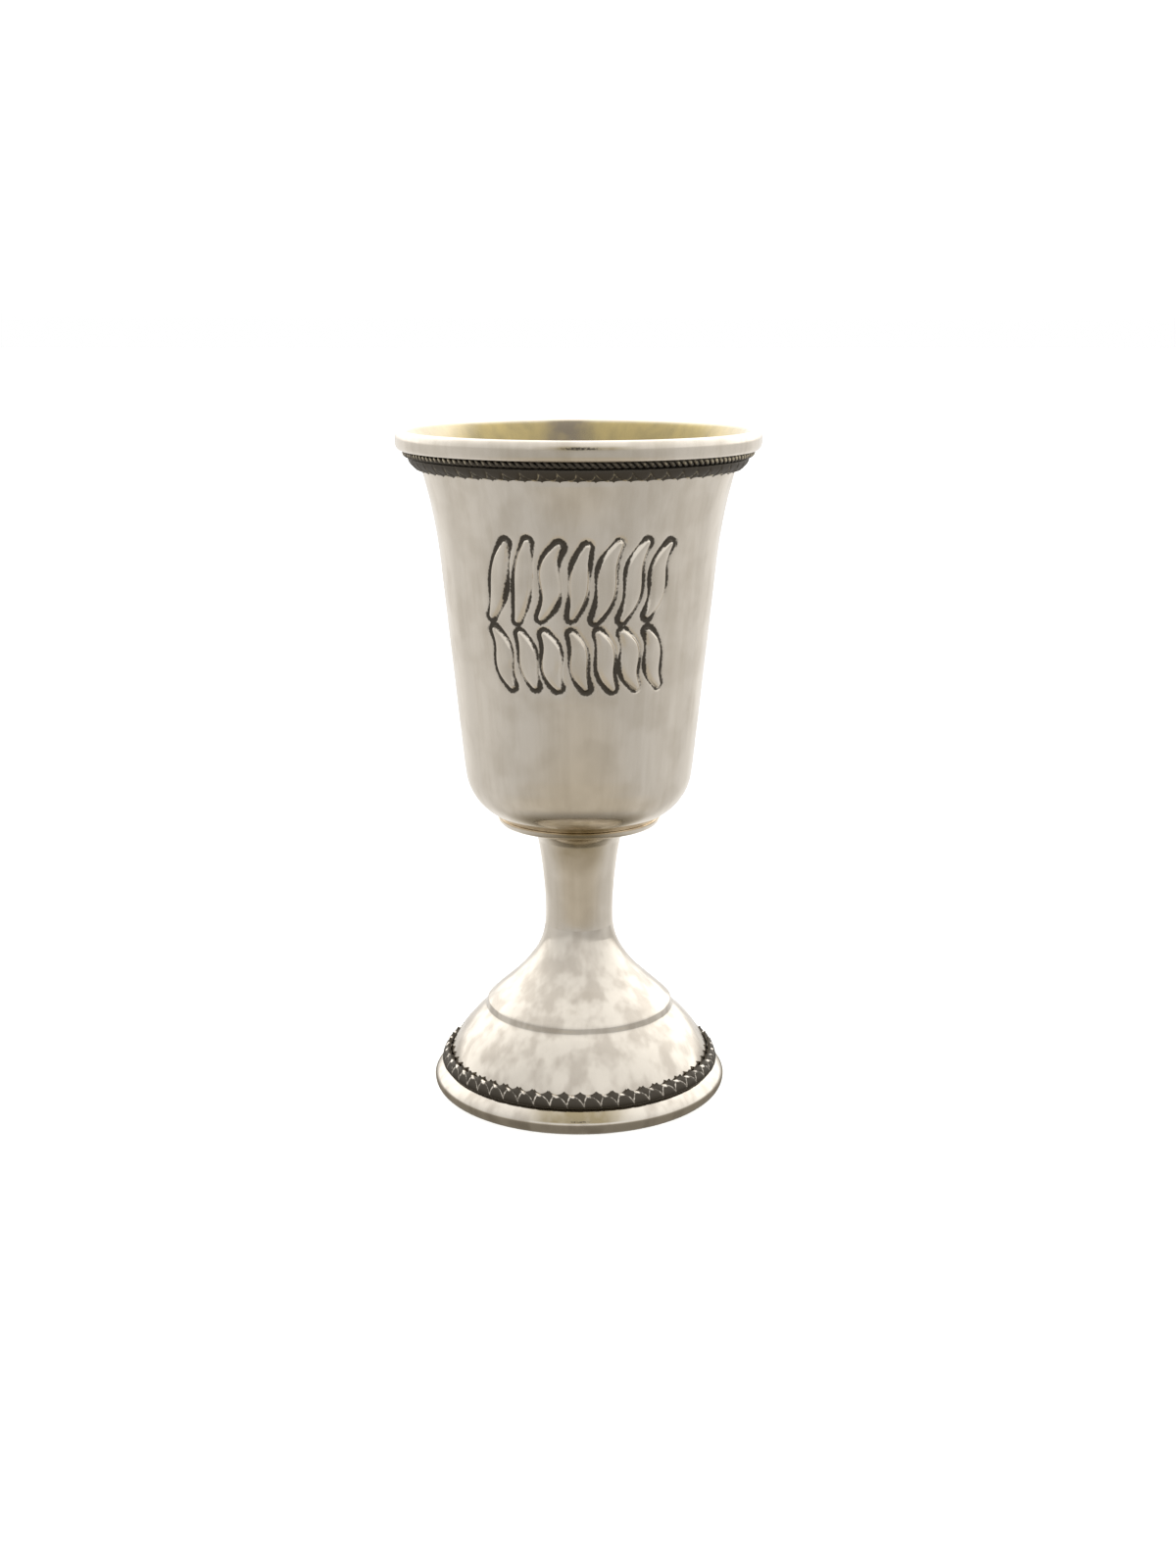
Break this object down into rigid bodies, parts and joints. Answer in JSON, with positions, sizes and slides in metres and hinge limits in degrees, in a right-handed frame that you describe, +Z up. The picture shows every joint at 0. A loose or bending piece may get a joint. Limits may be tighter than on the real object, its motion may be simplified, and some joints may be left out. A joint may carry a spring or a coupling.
{
  "type": "kiddush cup",
  "caption": "Footed silver goblet with a flared bell bowl, a slim stem, a domed foot, braided wire bands and raised strokes.",
  "frame": {"origin": "centre of the foot's underside, on the surface that the cup stands on", "axes": "+Z up along the cup's turning axis; -Y is the front, which carries the raised strokes; +X is to the right seen from the front"},
  "size_m": [0.0632, 0.0632, 0.12],
  "materials": {
    "silver": "polished sterling silver, soft hand finish, a pale gilt wash inside the bowl",
    "blackened_silver": "oxidised braided and twisted silver wire with polished crests"
  },
  "bodies": {
    "root": {"bowl": "silver", "rim_braid": "blackened_silver", "rim_twisted_wire": "blackened_silver", "stem": "silver", "foot": "silver", "foot_braid": "blackened_silver"}
  },
  "joints": []
}
